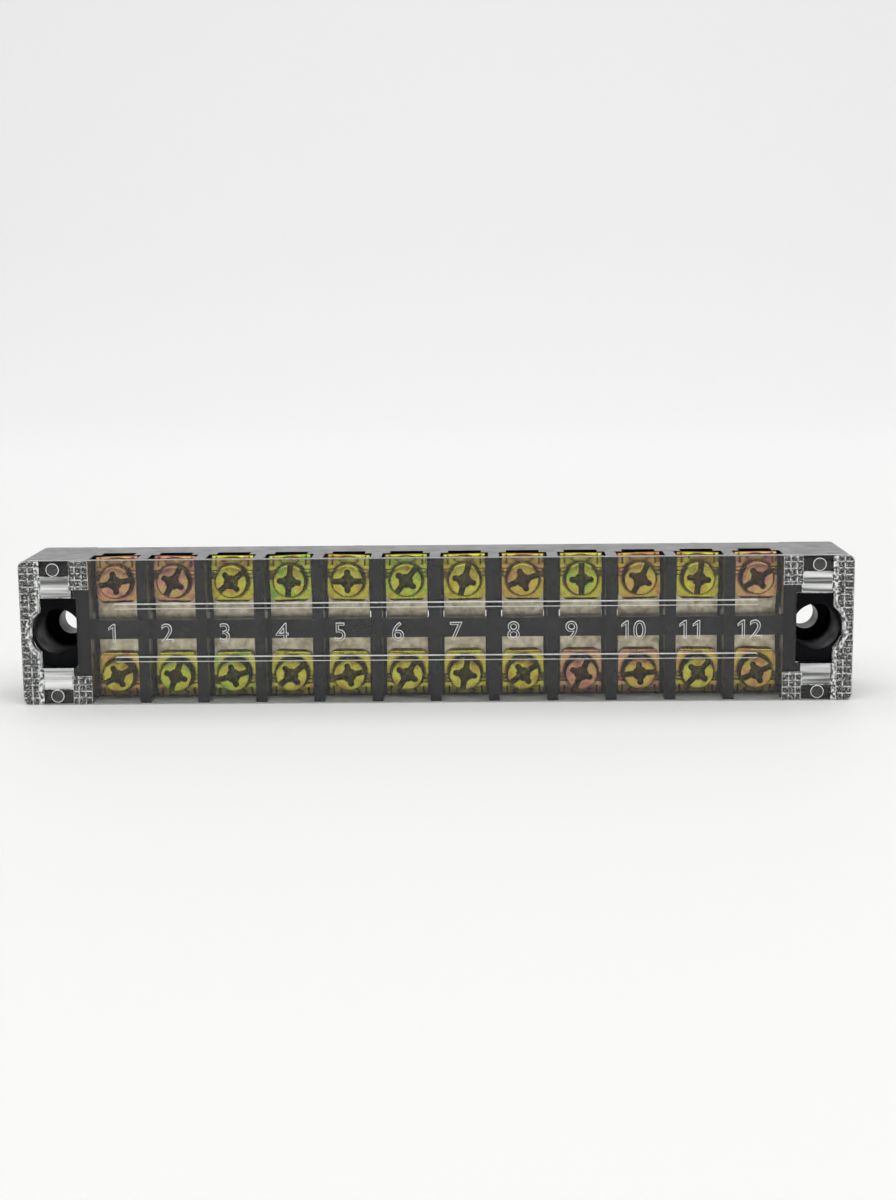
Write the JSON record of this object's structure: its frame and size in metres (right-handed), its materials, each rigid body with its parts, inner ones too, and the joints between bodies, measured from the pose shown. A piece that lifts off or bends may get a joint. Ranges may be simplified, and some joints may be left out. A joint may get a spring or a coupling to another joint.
{
  "type": "barrier terminal strip",
  "caption": "Two-row barrier terminal strip: black moulded base with screw terminals, clear pull-off cover and end mounting holes.",
  "frame": {"origin": "midway between the two mounting holes, on the plane of the mounting feet", "axes": "+X along the strip from position 1 to the last, +Z across the width towards the upper row, -Y out of the mounting surface towards the cover"},
  "size_m": [0.125, 0.0157, 0.022],
  "materials": {
    "housing": "moulded, satin black",
    "clear_cover": "clear, polished",
    "conductor": "tin plated, matt",
    "washer": "yellow chromated zinc",
    "screw": "yellow chromated zinc"
  },
  "bodies": {
    "base": {"base": "housing", "conductor_plates": "conductor"},
    "cover": {"cover": "clear_cover"},
    "washer_upper_01": {"washer_upper_01": "washer"},
    "screw_upper_01": {"screw_upper_01": "screw"},
    "washer_upper_02": {"washer_upper_02": "washer"},
    "screw_upper_02": {"screw_upper_02": "screw"},
    "washer_upper_03": {"washer_upper_03": "washer"},
    "screw_upper_03": {"screw_upper_03": "screw"},
    "washer_upper_04": {"washer_upper_04": "washer"},
    "screw_upper_04": {"screw_upper_04": "screw"},
    "washer_upper_05": {"washer_upper_05": "washer"},
    "screw_upper_05": {"screw_upper_05": "screw"},
    "washer_upper_06": {"washer_upper_06": "washer"},
    "screw_upper_06": {"screw_upper_06": "screw"},
    "washer_upper_07": {"washer_upper_07": "washer"},
    "screw_upper_07": {"screw_upper_07": "screw"},
    "washer_upper_08": {"washer_upper_08": "washer"},
    "screw_upper_08": {"screw_upper_08": "screw"},
    "washer_upper_09": {"washer_upper_09": "washer"},
    "screw_upper_09": {"screw_upper_09": "screw"},
    "washer_upper_10": {"washer_upper_10": "washer"},
    "screw_upper_10": {"screw_upper_10": "screw"},
    "washer_upper_11": {"washer_upper_11": "washer"},
    "screw_upper_11": {"screw_upper_11": "screw"},
    "washer_upper_12": {"washer_upper_12": "washer"},
    "screw_upper_12": {"screw_upper_12": "screw"},
    "washer_lower_01": {"washer_lower_01": "washer"},
    "screw_lower_01": {"screw_lower_01": "screw"},
    "washer_lower_02": {"washer_lower_02": "washer"},
    "screw_lower_02": {"screw_lower_02": "screw"},
    "washer_lower_03": {"washer_lower_03": "washer"},
    "screw_lower_03": {"screw_lower_03": "screw"},
    "washer_lower_04": {"washer_lower_04": "washer"},
    "screw_lower_04": {"screw_lower_04": "screw"},
    "washer_lower_05": {"washer_lower_05": "washer"},
    "screw_lower_05": {"screw_lower_05": "screw"},
    "washer_lower_06": {"washer_lower_06": "washer"},
    "screw_lower_06": {"screw_lower_06": "screw"},
    "washer_lower_07": {"washer_lower_07": "washer"},
    "screw_lower_07": {"screw_lower_07": "screw"},
    "washer_lower_08": {"washer_lower_08": "washer"},
    "screw_lower_08": {"screw_lower_08": "screw"},
    "washer_lower_09": {"washer_lower_09": "washer"},
    "screw_lower_09": {"screw_lower_09": "screw"},
    "washer_lower_10": {"washer_lower_10": "washer"},
    "screw_lower_10": {"screw_lower_10": "screw"},
    "washer_lower_11": {"washer_lower_11": "washer"},
    "screw_lower_11": {"screw_lower_11": "screw"},
    "washer_lower_12": {"washer_lower_12": "washer"},
    "screw_lower_12": {"screw_lower_12": "screw"}
  },
  "joints": [
    {"name": "cover_slide", "type": "slide", "parent": "base", "child": "cover", "axis": [0, -1, 0], "range_m": [0, 0.012]},
    {"name": "washer_upper_01_lift", "type": "slide", "parent": "base", "child": "washer_upper_01", "axis": [0, -1, 0], "range_m": [0, 0.0015]},
    {"name": "screw_upper_01_turn", "type": "hinge", "parent": "washer_upper_01", "child": "screw_upper_01", "pos_m": [-0.04856, 0, 0.0072], "axis": [0, -1, 0], "range_deg": [0, 1080]},
    {"name": "washer_upper_02_lift", "type": "slide", "parent": "base", "child": "washer_upper_02", "axis": [0, -1, 0], "range_m": [0, 0.0015]},
    {"name": "screw_upper_02_turn", "type": "hinge", "parent": "washer_upper_02", "child": "screw_upper_02", "pos_m": [-0.03973, 0, 0.0072], "axis": [0, -1, 0], "range_deg": [0, 1080]},
    {"name": "washer_upper_03_lift", "type": "slide", "parent": "base", "child": "washer_upper_03", "axis": [0, -1, 0], "range_m": [0, 0.0015]},
    {"name": "screw_upper_03_turn", "type": "hinge", "parent": "washer_upper_03", "child": "screw_upper_03", "pos_m": [-0.0309, 0, 0.0072], "axis": [0, -1, 0], "range_deg": [0, 1080]},
    {"name": "washer_upper_04_lift", "type": "slide", "parent": "base", "child": "washer_upper_04", "axis": [0, -1, 0], "range_m": [0, 0.0015]},
    {"name": "screw_upper_04_turn", "type": "hinge", "parent": "washer_upper_04", "child": "screw_upper_04", "pos_m": [-0.02208, 0, 0.0072], "axis": [0, -1, 0], "range_deg": [0, 1080]},
    {"name": "washer_upper_05_lift", "type": "slide", "parent": "base", "child": "washer_upper_05", "axis": [0, -1, 0], "range_m": [0, 0.0015]},
    {"name": "screw_upper_05_turn", "type": "hinge", "parent": "washer_upper_05", "child": "screw_upper_05", "pos_m": [-0.01324, 0, 0.0072], "axis": [0, -1, 0], "range_deg": [0, 1080]},
    {"name": "washer_upper_06_lift", "type": "slide", "parent": "base", "child": "washer_upper_06", "axis": [0, -1, 0], "range_m": [0, 0.0015]},
    {"name": "screw_upper_06_turn", "type": "hinge", "parent": "washer_upper_06", "child": "screw_upper_06", "pos_m": [-0.00441, 0, 0.0072], "axis": [0, -1, 0], "range_deg": [0, 1080]},
    {"name": "washer_upper_07_lift", "type": "slide", "parent": "base", "child": "washer_upper_07", "axis": [0, -1, 0], "range_m": [0, 0.0015]},
    {"name": "screw_upper_07_turn", "type": "hinge", "parent": "washer_upper_07", "child": "screw_upper_07", "pos_m": [0.00441, 0, 0.0072], "axis": [0, -1, 0], "range_deg": [0, 1080]},
    {"name": "washer_upper_08_lift", "type": "slide", "parent": "base", "child": "washer_upper_08", "axis": [0, -1, 0], "range_m": [0, 0.0015]},
    {"name": "screw_upper_08_turn", "type": "hinge", "parent": "washer_upper_08", "child": "screw_upper_08", "pos_m": [0.01324, 0, 0.0072], "axis": [0, -1, 0], "range_deg": [0, 1080]},
    {"name": "washer_upper_09_lift", "type": "slide", "parent": "base", "child": "washer_upper_09", "axis": [0, -1, 0], "range_m": [0, 0.0015]},
    {"name": "screw_upper_09_turn", "type": "hinge", "parent": "washer_upper_09", "child": "screw_upper_09", "pos_m": [0.02208, 0, 0.0072], "axis": [0, -1, 0], "range_deg": [0, 1080]},
    {"name": "washer_upper_10_lift", "type": "slide", "parent": "base", "child": "washer_upper_10", "axis": [0, -1, 0], "range_m": [0, 0.0015]},
    {"name": "screw_upper_10_turn", "type": "hinge", "parent": "washer_upper_10", "child": "screw_upper_10", "pos_m": [0.0309, 0, 0.0072], "axis": [0, -1, 0], "range_deg": [0, 1080]},
    {"name": "washer_upper_11_lift", "type": "slide", "parent": "base", "child": "washer_upper_11", "axis": [0, -1, 0], "range_m": [0, 0.0015]},
    {"name": "screw_upper_11_turn", "type": "hinge", "parent": "washer_upper_11", "child": "screw_upper_11", "pos_m": [0.03973, 0, 0.0072], "axis": [0, -1, 0], "range_deg": [0, 1080]},
    {"name": "washer_upper_12_lift", "type": "slide", "parent": "base", "child": "washer_upper_12", "axis": [0, -1, 0], "range_m": [0, 0.0015]},
    {"name": "screw_upper_12_turn", "type": "hinge", "parent": "washer_upper_12", "child": "screw_upper_12", "pos_m": [0.04856, 0, 0.0072], "axis": [0, -1, 0], "range_deg": [0, 1080]},
    {"name": "washer_lower_01_lift", "type": "slide", "parent": "base", "child": "washer_lower_01", "axis": [0, -1, 0], "range_m": [0, 0.0015]},
    {"name": "screw_lower_01_turn", "type": "hinge", "parent": "washer_lower_01", "child": "screw_lower_01", "pos_m": [-0.04856, 0, -0.0072], "axis": [0, -1, 0], "range_deg": [0, 1080]},
    {"name": "washer_lower_02_lift", "type": "slide", "parent": "base", "child": "washer_lower_02", "axis": [0, -1, 0], "range_m": [0, 0.0015]},
    {"name": "screw_lower_02_turn", "type": "hinge", "parent": "washer_lower_02", "child": "screw_lower_02", "pos_m": [-0.03973, 0, -0.0072], "axis": [0, -1, 0], "range_deg": [0, 1080]},
    {"name": "washer_lower_03_lift", "type": "slide", "parent": "base", "child": "washer_lower_03", "axis": [0, -1, 0], "range_m": [0, 0.0015]},
    {"name": "screw_lower_03_turn", "type": "hinge", "parent": "washer_lower_03", "child": "screw_lower_03", "pos_m": [-0.0309, 0, -0.0072], "axis": [0, -1, 0], "range_deg": [0, 1080]},
    {"name": "washer_lower_04_lift", "type": "slide", "parent": "base", "child": "washer_lower_04", "axis": [0, -1, 0], "range_m": [0, 0.0015]},
    {"name": "screw_lower_04_turn", "type": "hinge", "parent": "washer_lower_04", "child": "screw_lower_04", "pos_m": [-0.02208, 0, -0.0072], "axis": [0, -1, 0], "range_deg": [0, 1080]},
    {"name": "washer_lower_05_lift", "type": "slide", "parent": "base", "child": "washer_lower_05", "axis": [0, -1, 0], "range_m": [0, 0.0015]},
    {"name": "screw_lower_05_turn", "type": "hinge", "parent": "washer_lower_05", "child": "screw_lower_05", "pos_m": [-0.01324, 0, -0.0072], "axis": [0, -1, 0], "range_deg": [0, 1080]},
    {"name": "washer_lower_06_lift", "type": "slide", "parent": "base", "child": "washer_lower_06", "axis": [0, -1, 0], "range_m": [0, 0.0015]},
    {"name": "screw_lower_06_turn", "type": "hinge", "parent": "washer_lower_06", "child": "screw_lower_06", "pos_m": [-0.00441, 0, -0.0072], "axis": [0, -1, 0], "range_deg": [0, 1080]},
    {"name": "washer_lower_07_lift", "type": "slide", "parent": "base", "child": "washer_lower_07", "axis": [0, -1, 0], "range_m": [0, 0.0015]},
    {"name": "screw_lower_07_turn", "type": "hinge", "parent": "washer_lower_07", "child": "screw_lower_07", "pos_m": [0.00441, 0, -0.0072], "axis": [0, -1, 0], "range_deg": [0, 1080]},
    {"name": "washer_lower_08_lift", "type": "slide", "parent": "base", "child": "washer_lower_08", "axis": [0, -1, 0], "range_m": [0, 0.0015]},
    {"name": "screw_lower_08_turn", "type": "hinge", "parent": "washer_lower_08", "child": "screw_lower_08", "pos_m": [0.01324, 0, -0.0072], "axis": [0, -1, 0], "range_deg": [0, 1080]},
    {"name": "washer_lower_09_lift", "type": "slide", "parent": "base", "child": "washer_lower_09", "axis": [0, -1, 0], "range_m": [0, 0.0015]},
    {"name": "screw_lower_09_turn", "type": "hinge", "parent": "washer_lower_09", "child": "screw_lower_09", "pos_m": [0.02208, 0, -0.0072], "axis": [0, -1, 0], "range_deg": [0, 1080]},
    {"name": "washer_lower_10_lift", "type": "slide", "parent": "base", "child": "washer_lower_10", "axis": [0, -1, 0], "range_m": [0, 0.0015]},
    {"name": "screw_lower_10_turn", "type": "hinge", "parent": "washer_lower_10", "child": "screw_lower_10", "pos_m": [0.0309, 0, -0.0072], "axis": [0, -1, 0], "range_deg": [0, 1080]},
    {"name": "washer_lower_11_lift", "type": "slide", "parent": "base", "child": "washer_lower_11", "axis": [0, -1, 0], "range_m": [0, 0.0015]},
    {"name": "screw_lower_11_turn", "type": "hinge", "parent": "washer_lower_11", "child": "screw_lower_11", "pos_m": [0.03973, 0, -0.0072], "axis": [0, -1, 0], "range_deg": [0, 1080]},
    {"name": "washer_lower_12_lift", "type": "slide", "parent": "base", "child": "washer_lower_12", "axis": [0, -1, 0], "range_m": [0, 0.0015]},
    {"name": "screw_lower_12_turn", "type": "hinge", "parent": "washer_lower_12", "child": "screw_lower_12", "pos_m": [0.04856, 0, -0.0072], "axis": [0, -1, 0], "range_deg": [0, 1080]}
  ],
  "couplings": [
    {"joint": "screw_upper_01_turn", "follows": "washer_upper_01_lift", "rad_per_m": 12566},
    {"joint": "screw_upper_02_turn", "follows": "washer_upper_02_lift", "rad_per_m": 12566},
    {"joint": "screw_upper_03_turn", "follows": "washer_upper_03_lift", "rad_per_m": 12566},
    {"joint": "screw_upper_04_turn", "follows": "washer_upper_04_lift", "rad_per_m": 12566},
    {"joint": "screw_upper_05_turn", "follows": "washer_upper_05_lift", "rad_per_m": 12566},
    {"joint": "screw_upper_06_turn", "follows": "washer_upper_06_lift", "rad_per_m": 12566},
    {"joint": "screw_upper_07_turn", "follows": "washer_upper_07_lift", "rad_per_m": 12566},
    {"joint": "screw_upper_08_turn", "follows": "washer_upper_08_lift", "rad_per_m": 12566},
    {"joint": "screw_upper_09_turn", "follows": "washer_upper_09_lift", "rad_per_m": 12566},
    {"joint": "screw_upper_10_turn", "follows": "washer_upper_10_lift", "rad_per_m": 12566},
    {"joint": "screw_upper_11_turn", "follows": "washer_upper_11_lift", "rad_per_m": 12566},
    {"joint": "screw_upper_12_turn", "follows": "washer_upper_12_lift", "rad_per_m": 12566},
    {"joint": "screw_lower_01_turn", "follows": "washer_lower_01_lift", "rad_per_m": 12566},
    {"joint": "screw_lower_02_turn", "follows": "washer_lower_02_lift", "rad_per_m": 12566},
    {"joint": "screw_lower_03_turn", "follows": "washer_lower_03_lift", "rad_per_m": 12566},
    {"joint": "screw_lower_04_turn", "follows": "washer_lower_04_lift", "rad_per_m": 12566},
    {"joint": "screw_lower_05_turn", "follows": "washer_lower_05_lift", "rad_per_m": 12566},
    {"joint": "screw_lower_06_turn", "follows": "washer_lower_06_lift", "rad_per_m": 12566},
    {"joint": "screw_lower_07_turn", "follows": "washer_lower_07_lift", "rad_per_m": 12566},
    {"joint": "screw_lower_08_turn", "follows": "washer_lower_08_lift", "rad_per_m": 12566},
    {"joint": "screw_lower_09_turn", "follows": "washer_lower_09_lift", "rad_per_m": 12566},
    {"joint": "screw_lower_10_turn", "follows": "washer_lower_10_lift", "rad_per_m": 12566},
    {"joint": "screw_lower_11_turn", "follows": "washer_lower_11_lift", "rad_per_m": 12566},
    {"joint": "screw_lower_12_turn", "follows": "washer_lower_12_lift", "rad_per_m": 12566}
  ]
}
